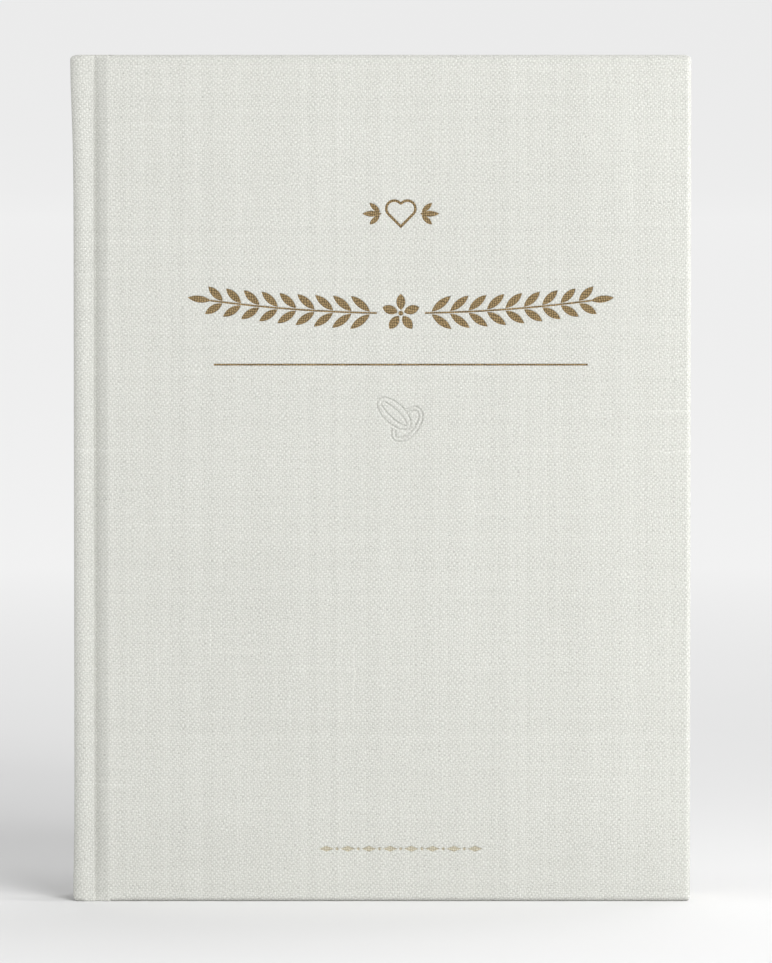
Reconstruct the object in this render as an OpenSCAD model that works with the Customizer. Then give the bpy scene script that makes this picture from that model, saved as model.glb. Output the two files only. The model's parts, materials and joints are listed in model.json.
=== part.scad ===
// A wedding guest book: a sewn, cloth-covered hardback with a French groove.
// It stands on its tail with its covers closed. +Z is up, the front cover faces -Y,
// and the spine is on -X. The origin is the middle of its footprint, at floor level.

/* [Case] */
// Height of the covers
case_h = 247; // [210:1:300]
// Width from the back of the spine to the fore-edge of the covers
case_w = 180; // [150:1:220]
// Thickness of the board in each cover
board_t = 2.5; // [2:0.1:3.5]
// Thickness of the board in the spine
spine_board_t = 2; // [1.6:0.1:2]
// Thickness of the book cloth
cloth_t = 0.4; // [0.3:0.05:0.5]
// How far the cloth turns in over the inside of a board
turn_in = 15; // [10:1:20]
// Radius of the cloth over the edges of the boards
edge_r = 1.6; // [1:0.1:1.7]
// How far the covers stand past the pages
overhang = 3.5; // [2:0.5:5]

/* [Groove] */
// Distance from the back of the spine to the edge of each cover board
board_start = 10.3; // [10.3:0.1:12]
// Distance from the back of the spine to the line that a cover turns on
hinge_in = 4.9; // [4.7:0.1:5]
// Depth of the French groove
groove_depth = 1.9; // [1:0.1:2.1]
// Width of the French groove
groove_w = 4.6; // [3:0.1:5]

/* [Pages] */
// Number of sewn sections
section_count = 12; // [8:2:16]
// Thickness of one section of eight leaves
section_t = 1.6; // [1.2:0.1:2]
// Air between two sections, and between the flyleaf and the cover
leaf_gap = 0.05; // [0.02:0.01:0.1]
// Thickness of the endpapers
endpaper_t = 0.2; // [0.15:0.01:0.25]

/* [Sewing] */
// Number of tapes that the sections are sewn on
tape_count = 3; // [2:1:5]
// Width of a tape
tape_w = 12; // [8:1:16]
// Diameter of the sewing thread
thread_d = 0.4; // [0.3:0.05:0.4]
// Diameter of the roll of the headband
headband_d = 1.5; // [1:0.1:2]

/* [Stamping] */
// Distance from the back of the spine to the centre line of the stamping
stamp_in = 95.4; // [90:0.1:100]
// Height of the heart and its sprays above the tail
sprig_z = 201; // [190:1:205]
// Height of the garland above the tail
garland_z = 175; // [170:1:180]
// Width of the garland
garland_w = 124; // [100:1:130]
// Height of the rule above the tail
rule_z = 157; // [154:1:160]
// Length of the rule
rule_w = 109; // [80:1:130]
// Height of the centre of the two rings above the tail
rings_z = 141.2; // [138:0.1:144]
// Height of the small row of lozenges above the tail
row_z = 15.4; // [10:0.1:30]
// Depth that the stamp presses into the cloth
stamp_depth = 0.15; // [0.08:0.01:0.2]
// Thickness of the foil
foil_t = 0.05; // [0.03:0.01:0.07]

/* [Hidden] */
$fn = 64;
past = 1;                                        // how far a cut runs past the face it cuts
block_t = section_count * section_t + 2 * endpaper_t;
page_h = case_h - 2 * overhang;
page_edge = case_w - overhang;
leaf_start = board_start - 0.1;                  // where the leaves leave the sewn folds
panel_in = leaf_gap + endpaper_t;                // inner face of the turned-in cloth
panel_t = board_t + 2 * cloth_t;
cover_t = panel_in + panel_t;                    // from the pages to the outside of a cover
half_t = block_t / 2 + cover_t;
spine_in = cloth_t + spine_board_t;              // inner face of the spine board
inner_r = 0.8;                                   // radius of the cloth at the inner edges
hollow = 0.15;                                   // air between the spine board and its lining
lining_t = 0.2;
liner_at = spine_in + hollow;
mull_at = liner_at + lining_t;
thread_at = mull_at + lining_t;
tape_at = thread_at + thread_d;
tape_t = 0.25;
fold_at = tape_at + tape_t;                      // back of the sewn folds
flap_w = 22;                                     // how far the mull reaches over a board
band_tab_h = 12;
kettle_in = 15;                                  // kettle stitch from the ends of the folds
mull_in = 18.5;                                  // ends of the mull from the ends of the folds
liner_in = 13.5;

function digits(i) = i < 10 ? str("0", i) : str(i);
function section_name(i) = str("section_", digits(i));
// How far below the outside of the cover the cloth runs, at a distance u from the spine.
function groove(u) =
    let (off_middle = u - (board_start - groove_w / 2))
    abs(off_middle) < groove_w / 2
        ? groove_depth * (1 + cos(360 * off_middle / groove_w)) / 2
        : 0;

// Places a shape that is drawn with X from the back of the spine and Y outwards from
// the pages: on the front of the book, or on its back.
module on_front() {
    translate([-case_w / 2, -block_t / 2, 0]) mirror([0, 1, 0]) children();
}
module on_back() {
    translate([-case_w / 2, block_t / 2, 0]) children();
}

// What a round edge leaves over at a corner whose material lies towards -X and -Y.
module corner_waste(r) {
    difference() {
        translate([-r, -r]) square(2 * r);
        translate([-r, -r]) circle(r);
    }
}

// ---- covers ----

// A cover panel with rounded edges, moved in from the outside of the cloth by inset.
module rounded_panel(inset) {
    low = panel_in + inset;
    high = cover_t - inset;
    outer_r = edge_r - inset;
    under_r = inner_r - inset;
    intersection() {
        linear_extrude(case_h) difference() {
            translate([board_start, low])
                square([case_w - inset - board_start, high - low]);
            translate([case_w - inset, high]) corner_waste(outer_r);
            translate([case_w - inset, low]) mirror([0, 1]) corner_waste(under_r);
        }
        translate([board_start - past, 0, 0]) rotate([90, 0, 90])
            linear_extrude(case_w - board_start + 2 * past) difference() {
                translate([low, inset]) square([high - low, case_h - 2 * inset]);
                translate([high, case_h - inset]) corner_waste(outer_r);
                translate([high, inset]) mirror([0, 1]) corner_waste(outer_r);
                translate([low, case_h - inset]) mirror([1, 0]) corner_waste(under_r);
                translate([low, inset]) rotate(180) corner_waste(under_r);
            }
    }
}

module board() {
    color("tan") rounded_panel(cloth_t);
}

module cover_cloth() {
    color("whitesmoke") difference() {
        rounded_panel(0);
        rounded_panel(cloth_t);
        translate([board_start - past, panel_in - past, turn_in])
            cube([case_w - turn_in - board_start + past, past + cloth_t,
                  case_h - 2 * turn_in]);
    }
}

// A plate on the inside of a cover, from height low to height high above the pages.
module inside_plate(from, to, z_in, low, high) {
    translate([from, low, z_in]) cube([to - from, high - low, case_h - 2 * z_in]);
}

flap_end = board_start + flap_w;
flap_z = turn_in + 3;
board_face = panel_in + cloth_t;

// The mull from the spine, glued to the inside of the board between the turn-ins.
module mull_flap() {
    color("linen")
        inside_plate(board_start + 0.2, flap_end, flap_z, board_face - lining_t, board_face);
}

// The pasted leaf: it lies over the turn-ins and the mull, and sinks to the board elsewhere.
module pastedown() {
    start = board_start + 0.1;
    window = case_w - turn_in;
    color("ivory") difference() {
        inside_plate(start, page_edge, overhang, leaf_gap, board_face);
        // room for the turned-in cloth, with the window left full
        difference() {
            inside_plate(start - past, page_edge + past, 0, panel_in, board_face + past);
            inside_plate(start - 2 * past, window, turn_in, panel_in - past,
                         board_face + 2 * past);
        }
        inside_plate(start - past, flap_end, flap_z, board_face - lining_t, board_face + past);
        // the face that shows, sunk between the turn-ins
        inside_plate(flap_end + endpaper_t, window - endpaper_t, turn_in + endpaper_t, 0,
                     board_face - endpaper_t);
        inside_plate(start - past, flap_end + 2 * endpaper_t, turn_in + endpaper_t, 0,
                     board_face - lining_t - endpaper_t);
    }
}

// ---- the two joints of the case ----

joint_steps = 32;

// Cloth that follows the groove, from height z_low to z_high, a number of layers down.
module joint_layer(layer, z_low, z_high) {
    span = board_start - spine_in;
    outer = [for (k = [0:joint_steps])
        let (u = spine_in + span * k / joint_steps)
        [u, cover_t - groove(u) - layer * cloth_t]];
    inner = [for (k = [joint_steps:-1:0]) outer[k] - [0, cloth_t]];
    translate([0, 0, z_low]) linear_extrude(z_high - z_low) polygon(concat(outer, inner));
}

module joint_cloth() {
    color("whitesmoke") {
        joint_layer(0, 0.2, case_h - 0.2);
        joint_layer(1, 0.2, turn_in);
        joint_layer(1, case_h - turn_in, case_h - 0.2);
    }
}

module joint_endpaper() {
    color("ivory")
        inside_plate(fold_at, board_start, overhang, leaf_gap, leaf_gap + endpaper_t);
}

// ---- pages ----

// A stack of leaves that is free of the folds. depth is measured from the pages' front.
module leaves(depth, thickness) {
    translate([leaf_start - case_w / 2, depth - block_t / 2, overhang])
        cube([page_edge - leaf_start, thickness, page_h]);
}

module section(i) {
    color("ivory")
        leaves(endpaper_t + (i - 1) * section_t + leaf_gap / 2, section_t - leaf_gap);
}

module front_flyleaf() {
    color("ivory") leaves(0, endpaper_t);
}

module back_flyleaf() {
    color("ivory") leaves(block_t - endpaper_t, endpaper_t);
}

// The sewn and glued backs of the sections, with the strips where the flyleaves are tipped on.
module section_folds() {
    fold_end = leaf_start - 0.1;
    fold_r = section_t / 2;
    color("ivory") translate([-case_w / 2, -block_t / 2, overhang]) linear_extrude(page_h) {
        translate([fold_at + fold_r, 0]) square([fold_end - fold_at - fold_r, block_t]);
        for (i = [1:section_count])
            translate([fold_at + fold_r, endpaper_t + (i - 0.5) * section_t]) circle(fold_r);
    }
}

// ---- sewing and lining of the spine ----

// Distance of each tape's middle from the tail of the folds.
function tape_z(k) = overhang + page_h * (k + 0.5) / tape_count;
function fold_y(i) = endpaper_t + (i - 0.5) * section_t - block_t / 2;

module sewing_tapes() {
    color("white") for (k = [0:tape_count - 1])
        translate([tape_at - case_w / 2, fold_y(1), tape_z(k) - tape_w / 2])
            cube([tape_t, fold_y(section_count) - fold_y(1), tape_w]);
}

module sewing_thread() {
    r = thread_d / 2;
    color("linen") {
        // one stitch over each tape on each section
        for (i = [1:section_count], k = [0:tape_count - 1])
            translate([thread_at + r - case_w / 2, fold_y(i), tape_z(k) - tape_w / 2 - 1])
                cylinder(h = tape_w + 2, r = r);
        // kettle stitches that tie the sections together near both ends
        for (z = [overhang + kettle_in, case_h - overhang - kettle_in])
            translate([fold_at - r - case_w / 2, fold_y(1), z]) rotate([-90, 0, 0])
                cylinder(h = fold_y(section_count) - fold_y(1), r = r);
    }
}

// A strip across the back of the folds.
module spine_strip(at, z_in) {
    side_in = 0.3;
    translate([at - case_w / 2, side_in - block_t / 2, overhang + z_in])
        cube([lining_t, block_t - 2 * side_in, page_h - 2 * z_in]);
}

module spine_mull() {
    color("linen") spine_strip(mull_at, mull_in);
}

module spine_liner() {
    color("burlywood") spine_strip(liner_at, liner_in);
}

// A rolled band with its tab, as it sits at the head of the folds.
module end_band() {
    side_in = 0.4;
    length = block_t - 2 * side_in;
    top = case_h - overhang;
    r = headband_d / 2;
    translate([fold_at - case_w / 2, -length / 2, 0]) {
        translate([r - tape_t, 0, top + r]) rotate([-90, 0, 0]) cylinder(h = length, r = r);
        translate([-tape_t, 0, top - band_tab_h]) cube([tape_t, length, band_tab_h + r]);
    }
}

module headband() {
    color("gainsboro") end_band();
}

module tailband() {
    color("gainsboro") translate([0, 0, case_h]) mirror([0, 0, 1]) end_band();
}

// ---- spine of the case ----

// The spine strip in plan, with round outer corners, moved in by inset.
module spine_plan(inset) {
    r = spine_in - inset;
    difference() {
        translate([inset, inset - half_t]) square([r, 2 * (half_t - inset)]);
        translate([inset, half_t - inset]) mirror([1, 0]) corner_waste(r);
        translate([inset, inset - half_t]) rotate(180) corner_waste(r);
    }
}

// The same strip from the side, with the head and tail rounded at the back of the spine.
module spine_side(inset, depth) {
    r = edge_r - inset;
    difference() {
        translate([inset, inset]) square([depth - inset, case_h - 2 * inset]);
        translate([inset, case_h - inset]) mirror([1, 0]) corner_waste(r);
        translate([inset, inset]) rotate(180) corner_waste(r);
    }
}

module spine_solid(inset) {
    intersection() {
        linear_extrude(case_h) spine_plan(inset);
        translate([0, half_t, 0]) rotate([90, 0, 0])
            linear_extrude(2 * half_t) spine_side(inset, spine_in);
    }
}

module spine_board() {
    color("tan") translate([-case_w / 2, 0, 0]) spine_solid(cloth_t);
}

module spine_cloth() {
    color("whitesmoke") translate([-case_w / 2, 0, 0]) {
        difference() {
            spine_solid(0);
            spine_solid(cloth_t);
        }
        // turned in over the head and the tail of the spine board
        for (z = [0, case_h - turn_in])
            translate([spine_in, -block_t / 2, z]) cube([cloth_t, block_t, turn_in]);
    }
}

// ---- stamping on the front cover ----

// A pointed leaf along +X from the origin.
module leaf(length, width) {
    r = (length * length + width * width) / (4 * width);
    translate([length / 2, 0]) intersection() {
        translate([0, r - width / 2]) circle(r);
        translate([0, width / 2 - r]) circle(r);
    }
}

// A heart with its point down and its notch at the origin, moved in by inset. The square
// starts a little below the notch, where the lobes cover its corner.
module heart(lobe, inset) {
    reach = lobe / sqrt(2);
    below = 0.3;
    difference() {
        union() {
            translate([0, -below]) rotate(-135) square(2 * lobe - inset - below / sqrt(2));
            for (side = [-1, 1]) translate([side * reach, -reach]) circle(lobe - inset);
        }
        if (inset > 0) circle(inset);
    }
}

// An open heart between two short sprays of leaves.
module sprig_shape() {
    lobe = 2.7;
    translate([0, 3.4]) difference() {
        heart(lobe, 0);
        heart(lobe, 0.75);
    }
    for (side = [0, 1]) mirror([side, 0]) translate([5.6, 0]) {
        leaf(5.6, 1.7);
        for (turn = [-42, 42]) rotate(turn) translate([0.7, 0]) leaf(4, 1.5);
    }
}

garland_r = 420;                                 // radius of the garland's stem
garland_pairs = 9;                               // pairs of leaves on each side
garland_flower = 7;                              // half of the gap for the flower
stem_w = 0.5;

// One side of the garland: a stem that rises a little outwards, with leaves in pairs.
module garland_side() {
    end = garland_w / 2 - 6.5;
    turn = 180 / PI / garland_r;                 // degrees along the stem for each millimetre
    translate([0, garland_r]) {
        intersection() {
            difference() {
                circle(garland_r + stem_w / 2, $fn = 720);
                circle(garland_r - stem_w / 2, $fn = 720);
            }
            translate([garland_flower, -garland_r - past])
                square([end - garland_flower, garland_r / 5]);
        }
        for (k = [0:garland_pairs - 1]) {
            along = garland_flower + 1.5 + k * (end - garland_flower) / garland_pairs;
            rotate(along * turn) translate([0, -garland_r]) for (side = [-1, 1])
                rotate(side * 38) translate([0.6, 0]) leaf(7.2 - 0.16 * k, 2.2);
        }
        rotate(end * turn) translate([0, -garland_r]) leaf(6.8, 2);
    }
}

module garland_shape() {
    translate([0, -3]) {
        for (side = [0, 1]) mirror([side, 0]) garland_side();
        for (k = [0:4]) rotate(90 + 72 * k) translate([1, 0]) leaf(4.6, 2.6);
        circle(0.7);
    }
}

module rule_shape() {
    rule_t = 0.5;
    translate([-rule_w / 2, -rule_t / 2]) square([rule_w, rule_t]);
}

// Long lozenges with a dot between each two.
module lozenge_row_shape() {
    lozenges = 8;
    pitch = 6.2;
    half_w = 2.1;
    half_h = 0.85;
    for (k = [0:lozenges - 1]) translate([(k - (lozenges - 1) / 2) * pitch, 0]) {
        polygon([[-half_w, 0], [0, -half_h], [half_w, 0], [0, half_h]]);
        if (k < lozenges - 1) translate([pitch / 2, 0]) circle(0.45);
    }
}

function oval(a, b) = [for (t = [0:7.5:352.5]) [a * cos(t), b * sin(t)]];

// The outlines of a plain band seen from an angle: an outer and an inner oval, as lines.
module band_lines(outer, inner, line) {
    for (rim = [outer, inner]) difference() {
        polygon(oval(rim[0], rim[1]));
        polygon(oval(rim[0] - line, rim[1] - line));
    }
}

// Two plain rings, one lying across the other, pressed without foil.
module rings_shape() {
    line = 0.5;
    outer = [6.2, 3.2];
    inner = [4.8, 1.7];
    translate([-2, 1.3]) rotate(-43) band_lines(outer, inner, line);
    difference() {
        translate([1.8, -1.7]) rotate(51) band_lines([6, 3.5], [4.9, 2.3], line);
        translate([-2, 1.3]) rotate(-43) difference() {
            polygon(oval(outer[0], outer[1]));
            polygon(oval(inner[0] - line, inner[1] - line));
        }
    }
}

// Presses a flat shape into the front cover: from the outside down to depth_to.
module pressed(z, depth_from, depth_to) {
    translate([stamp_in - case_w / 2, depth_to - half_t, z]) rotate([90, 0, 0])
        linear_extrude(depth_to - depth_from) children();
}

module foil(z) {
    color("darkgoldenrod") pressed(z, stamp_depth - foil_t, stamp_depth) children();
}

module front_cover_cloth() {
    color("whitesmoke") difference() {
        on_front() cover_cloth();
        pressed(sprig_z, -past, stamp_depth) sprig_shape();
        pressed(garland_z, -past, stamp_depth) garland_shape();
        pressed(rule_z, -past, stamp_depth) rule_shape();
        pressed(rings_z, -past, stamp_depth) rings_shape();
        pressed(row_z, -past, stamp_depth) lozenge_row_shape();
    }
}

front_cover_cloth();
on_front() board();  // front_board
on_front() pastedown();  // front_pastedown
on_front() mull_flap();  // front_mull_flap
on_front() joint_cloth();  // front_joint_cloth
on_front() joint_endpaper();  // front_joint_endpaper
front_flyleaf();
on_back() cover_cloth();  // back_cover_cloth
on_back() board();  // back_board
on_back() pastedown();  // back_pastedown
on_back() mull_flap();  // back_mull_flap
on_back() joint_cloth();  // back_joint_cloth
on_back() joint_endpaper();  // back_joint_endpaper
back_flyleaf();
spine_cloth();
spine_board();
spine_liner();
spine_mull();
sewing_tapes();
sewing_thread();
section_folds();
headband();
tailband();
foil(sprig_z) sprig_shape();  // sprig_foil
foil(garland_z) garland_shape();  // garland_foil
foil(rule_z) rule_shape();  // rule_foil
foil(row_z) lozenge_row_shape();  // lozenge_foil
for (i = [1:section_count])
    section(i);
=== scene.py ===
import json
import math
import random

import bmesh
import bpy
import numpy as np
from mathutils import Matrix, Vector, geometry

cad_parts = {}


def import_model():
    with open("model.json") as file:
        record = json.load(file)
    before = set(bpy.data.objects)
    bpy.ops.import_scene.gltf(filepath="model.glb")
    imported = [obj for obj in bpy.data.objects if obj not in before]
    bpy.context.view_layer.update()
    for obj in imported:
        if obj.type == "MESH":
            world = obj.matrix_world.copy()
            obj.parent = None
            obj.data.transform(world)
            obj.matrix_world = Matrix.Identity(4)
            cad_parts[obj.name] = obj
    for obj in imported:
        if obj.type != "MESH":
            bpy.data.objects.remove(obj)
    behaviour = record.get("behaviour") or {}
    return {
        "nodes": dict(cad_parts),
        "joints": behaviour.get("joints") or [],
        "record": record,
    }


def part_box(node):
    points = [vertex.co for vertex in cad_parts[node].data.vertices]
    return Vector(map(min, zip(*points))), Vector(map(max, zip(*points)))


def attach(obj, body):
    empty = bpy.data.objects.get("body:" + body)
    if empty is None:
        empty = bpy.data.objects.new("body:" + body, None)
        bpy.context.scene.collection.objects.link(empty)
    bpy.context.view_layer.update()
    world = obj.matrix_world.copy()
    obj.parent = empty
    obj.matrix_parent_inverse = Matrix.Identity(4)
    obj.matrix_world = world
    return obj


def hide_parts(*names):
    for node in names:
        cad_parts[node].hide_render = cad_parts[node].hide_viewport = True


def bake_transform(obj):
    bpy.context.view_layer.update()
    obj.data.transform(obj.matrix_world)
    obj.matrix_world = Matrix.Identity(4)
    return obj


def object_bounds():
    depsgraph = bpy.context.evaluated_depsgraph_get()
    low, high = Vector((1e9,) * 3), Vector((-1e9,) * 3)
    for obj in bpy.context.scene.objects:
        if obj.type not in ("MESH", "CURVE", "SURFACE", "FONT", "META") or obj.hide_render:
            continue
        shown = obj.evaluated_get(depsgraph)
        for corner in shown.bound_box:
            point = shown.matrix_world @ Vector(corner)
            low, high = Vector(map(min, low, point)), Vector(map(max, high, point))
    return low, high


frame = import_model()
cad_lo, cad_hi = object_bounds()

MM = 0.001

# ---------------------------------------------------------------- sizes, from the frame
# u runs from the back of the spine towards the fore-edge, h from the pages outwards
# through a cover, and z up from the tail. All three are in metres.

FRONT, BACK = -1, 1
SIDE_NAME = {FRONT: "front", BACK: "back"}
hinge_at = {j["name"]: Vector(j["pos_m"]) for j in frame["joints"]}

spine_x = cad_lo.x
book_w = cad_hi.x - cad_lo.x
book_h = cad_hi.z
block_half = -hinge_at["front_cover_hinge"].y

board_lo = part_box("front_board")[0]
cloth_lo, cloth_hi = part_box("front_cover_cloth")
page_lo, page_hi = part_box("section_01")
board_start = board_lo.x - spine_x
cover_t = -cloth_lo.y - block_half
panel_in = -cloth_hi.y - block_half
edge_t = cover_t - panel_in                                # a board with its cloth
cloth_t = board_lo.y - cloth_lo.y
page_edge = page_hi.x - spine_x
overhang = page_lo.z
spine_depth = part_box("spine_board")[1].x - spine_x
fold_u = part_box("section_folds")[0].x - spine_x
flap_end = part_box("front_mull_flap")[1].x - spine_x
flap_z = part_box("front_mull_flap")[0].z
garland_lo, garland_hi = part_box("garland_foil")
stamp_u = (garland_lo.x + garland_hi.x) / 2 - spine_x      # centre line of the stamping
stamp_depth = garland_hi.y - cloth_lo.y                    # bottom of the stamped recess

SECTIONS = 12
HALF = SECTIONS // 2        # the front half of the sections, by number
EDGE_R = 1.6 * MM           # round of the cloth over the outer edges
INNER_R = 0.8 * MM          # round of the cloth over the inner edges
TURN_IN = 15 * MM
THREAD_U = 0.645 * MM       # pitch of the warp, which runs up the cover
THREAD_V = 0.69 * MM        # pitch of the weft


def world(side, u, h, z):
    """The place of a point that is given from the spine, out from the pages, and up."""
    return (spine_x + u, side * (block_half + h), z)


def smooth(t):
    t = min(1.0, max(0.0, t))
    return t * t * (3 - 2 * t)


# ---------------------------------------------------------------- mesh helpers

class Surface:
    """Collects faces with a UV in metres for each corner, and becomes one mesh."""

    def __init__(self):
        self.bm = bmesh.new()
        self.uv = self.bm.loops.layers.uv.new("cloth")

    def face(self, points, uvs):
        face = self.bm.faces.new([self.bm.verts.new(p) for p in points])
        for loop, uv in zip(face.loops, uvs):
            loop[self.uv].uv = uv

    def grid(self, points, uvs, flip=False):
        """Quads between rows of points: rows[i][j], with normal (i direction) x (j direction)."""
        made = [[self.bm.verts.new(p) for p in row] for row in points]
        for i in range(len(made) - 1):
            for j in range(len(made[i]) - 1):
                at = [(i, j), (i + 1, j), (i + 1, j + 1), (i, j + 1)]
                if flip:
                    at.reverse()
                face = self.bm.faces.new([made[a][b] for a, b in at])
                for loop, (a, b) in zip(face.loops, at):
                    loop[self.uv].uv = uvs[a][b]

    def weld(self, distance=1e-6):
        bmesh.ops.remove_doubles(self.bm, verts=self.bm.verts, dist=distance)
        bmesh.ops.dissolve_degenerate(self.bm, edges=self.bm.edges, dist=distance)

    def piece(self, name, material, sharp=40):
        mesh = bpy.data.meshes.new(name)
        self.bm.to_mesh(mesh)
        self.bm.free()
        obj = bpy.data.objects.new(name, mesh)
        bpy.context.scene.collection.objects.link(obj)
        obj.data.materials.append(material)
        soften(obj, sharp)
        return obj


def soften(obj, sharp):
    """Smooth shading, with edges sharper than this many degrees kept sharp."""
    obj.data.shade_smooth()
    obj.data.set_sharp_from_angle(angle=math.radians(sharp))


def thicken(obj, thickness):
    """Gives a sheet its thickness, inwards from its outer face."""
    solid = obj.modifiers.new("thickness", "SOLIDIFY")
    solid.thickness = thickness
    solid.offset = -1
    solid.use_quality_normals = True
    graph = bpy.context.evaluated_depsgraph_get()
    made = bpy.data.meshes.new_from_object(obj.evaluated_get(graph))
    obj.modifiers.clear()
    old, obj.data = obj.data, made
    made.name = old.name
    bpy.data.meshes.remove(old)


# ---------------------------------------------------------------- node helpers

class Net:
    """A short way to write node trees: every value may be a number or a socket."""

    def __init__(self, tree):
        self.tree = tree

    def add(self, kind, inputs=(), **settings):
        node = self.tree.nodes.new(kind)
        for key, value in settings.items():
            setattr(node, key, value)
        for key, value in dict(inputs).items():
            socket = node.inputs[key]
            if isinstance(value, bpy.types.NodeSocket):
                self.tree.links.new(value, socket)
            else:
                socket.default_value = value
        return node

    def place(self):
        """Where the point is, in the object's own metres."""
        return self.add("ShaderNodeTexCoord").outputs["Object"]

    def uv(self):
        return self.add("ShaderNodeUVMap", uv_map="cloth").outputs[0]

    def split(self, vector):
        return self.add("ShaderNodeSeparateXYZ", {0: vector}).outputs

    def ridges(self, value, rate):
        """Equal ridges from 0 to 1, each pi / rate wide."""
        return self.math("ABSOLUTE", self.math("SINE", self.math("MULTIPLY", value, rate)))

    def math(self, operation, *values, clamp=False):
        node = self.add("ShaderNodeMath", dict(enumerate(values)), operation=operation)
        node.use_clamp = clamp
        return node.outputs[0]

    def noise(self, vector, scale, detail=2.0, rough=0.5):
        node = self.add("ShaderNodeTexNoise",
                        {"Vector": vector, "Scale": scale, "Detail": detail,
                         "Roughness": rough})
        return node.outputs["Fac"]

    def vector(self, x, y, z=0.0):
        return self.add("ShaderNodeCombineXYZ", {0: x, 1: y, 2: z}).outputs[0]

    def mix(self, factor, low, high):
        node = self.add("ShaderNodeMix", data_type="RGBA")
        for index, value in ((0, factor), (6, low), (7, high)):
            if isinstance(value, bpy.types.NodeSocket):
                self.tree.links.new(value, node.inputs[index])
            elif index == 0:
                node.inputs[0].default_value = value
            else:
                node.inputs[index].default_value = (*value, 1.0)
        return node.outputs[2]

    def ranged(self, value, from_lo, from_hi, to_lo, to_hi):
        node = self.add("ShaderNodeMapRange", {0: value, 1: from_lo, 2: from_hi,
                                               3: to_lo, 4: to_hi})
        return node.outputs[0]

    def bump(self, height, distance, strength=1.0):
        node = self.add("ShaderNodeBump", {"Height": height, "Distance": distance,
                                           "Strength": strength})
        return node.outputs["Normal"]


def material(name, build, roughness, **sockets):
    """A Principled material. build(net) returns its base colour and normal sockets."""
    made = bpy.data.materials.new(name)
    made.use_nodes = True
    shader = made.node_tree.nodes["Principled BSDF"]
    shader.inputs["Roughness"].default_value = roughness
    for key, value in sockets.items():
        shader.inputs[key.replace("_", " ")].default_value = value
    colour, normal = build(Net(made.node_tree))
    made.node_tree.links.new(colour, shader.inputs["Base Color"])
    if normal is not None:
        made.node_tree.links.new(normal, shader.inputs["Normal"])
    return made


# ---------------------------------------------------------------- the weave

def weave_group():
    """A plain weave. In: U and V in metres. Out: the height of the threads from 0 to 1, a tone
    that differs from thread to thread with painted shade in its gaps and a painted highlight on
    the warp crossings, and slubs in both directions."""
    tree = bpy.data.node_groups.new("plain_weave", "ShaderNodeTree")
    for name in ("U", "V"):
        tree.interface.new_socket(name, in_out="INPUT", socket_type="NodeSocketFloat")
    for name in ("Height", "Tone_with_painted_light", "Slub"):
        tree.interface.new_socket(name, in_out="OUTPUT", socket_type="NodeSocketFloat")
    net = Net(tree)
    given = net.add("NodeGroupInput")
    u, v = given.outputs[0], given.outputs[1]

    # the threads wander a little
    drift = net.noise(net.vector(u, v), 150.0, 2.0, 0.6)
    drift_too = net.noise(net.vector(v, u, 0.5), 170.0, 2.0, 0.6)
    across = net.math("MULTIPLY_ADD", drift, 3.6, net.math("DIVIDE", u, THREAD_U))
    along = net.math("MULTIPLY_ADD", drift_too, 3.6, net.math("DIVIDE", v, THREAD_V))

    def thread(turn):
        """0 at the edge of a thread and 1 on its middle, from a count of threads."""
        wave = net.math("SINE", net.math("MULTIPLY", turn, math.pi))
        return wave, net.math("ABSOLUTE", wave)

    warp_wave, warp = thread(across)
    weft_wave, weft = thread(along)
    warp_over = net.math("GREATER_THAN", net.math("MULTIPLY", warp_wave, weft_wave), 0.0)

    def crossing(top, under):
        crown = net.math("MULTIPLY_ADD", net.math("POWER", under, 1.5), 0.45, 0.55)
        return net.math("MULTIPLY", net.math("POWER", top, 0.7), crown)

    warp_top = crossing(warp, weft)
    weft_top = net.math("MULTIPLY", crossing(weft, warp), 0.86)
    height = net.math("ADD", net.math("MULTIPLY", warp_top, warp_over),
                      net.math("MULTIPLY", weft_top, net.math("SUBTRACT", 1.0, warp_over)))

    def thread_tone(count, position, seed):
        """One thread's own tone, and the slubs along it."""
        index = net.math("FLOOR", count)
        own = net.add("ShaderNodeTexWhiteNoise", {"W": net.math("ADD", index, seed)},
                      noise_dimensions="1D").outputs["Value"]
        streak = net.noise(net.vector(net.math("MULTIPLY", index, 0.83),
                                      net.math("MULTIPLY", position, 22.0), seed),
                           1.0, 1.0)
        return own, net.ranged(streak, 0.70, 0.85, 0.0, 1.0)

    warp_own, warp_slub = thread_tone(across, v, 3.1)
    weft_own, weft_slub = thread_tone(along, u, 17.7)
    spot = net.add("ShaderNodeTexWhiteNoise",
                   {"Vector": net.vector(net.math("FLOOR", across),
                                         net.math("FLOOR", along))},
                   noise_dimensions="2D").outputs["Value"]
    # the warp lies uppermost at every second crossing, where a highlight is painted; where the
    # weft lies uppermost a shade is painted
    painted_crossing_light = net.math("MULTIPLY", warp_wave, weft_wave)
    fibre = net.noise(net.vector(u, v), 1900.0, 0.0)
    tone_with_painted_light = net.math("MULTIPLY", painted_crossing_light, net.math("MULTIPLY_ADD", spot, 0.26, 0.16))
    # painted shade: the tone is darker in the gaps between the threads, where their height is low
    tone_with_painted_light = net.math("MULTIPLY_ADD", height, 0.50, tone_with_painted_light)
    tone_with_painted_light = net.math("MULTIPLY_ADD", fibre, 0.9, tone_with_painted_light)
    tone_with_painted_light = net.math("MULTIPLY_ADD", warp_own, 0.12, tone_with_painted_light)
    tone_with_painted_light = net.math("MULTIPLY_ADD", weft_own, 0.08, tone_with_painted_light)
    slub = net.math("MAXIMUM", warp_slub, weft_slub)
    raised = net.math("MULTIPLY_ADD", slub, 0.35, height)
    result = net.add("NodeGroupOutput")
    for index, socket in enumerate((raised, tone_with_painted_light, slub)):
        tree.links.new(socket, result.inputs[index])
    return tree


WEAVE = weave_group()


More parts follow.
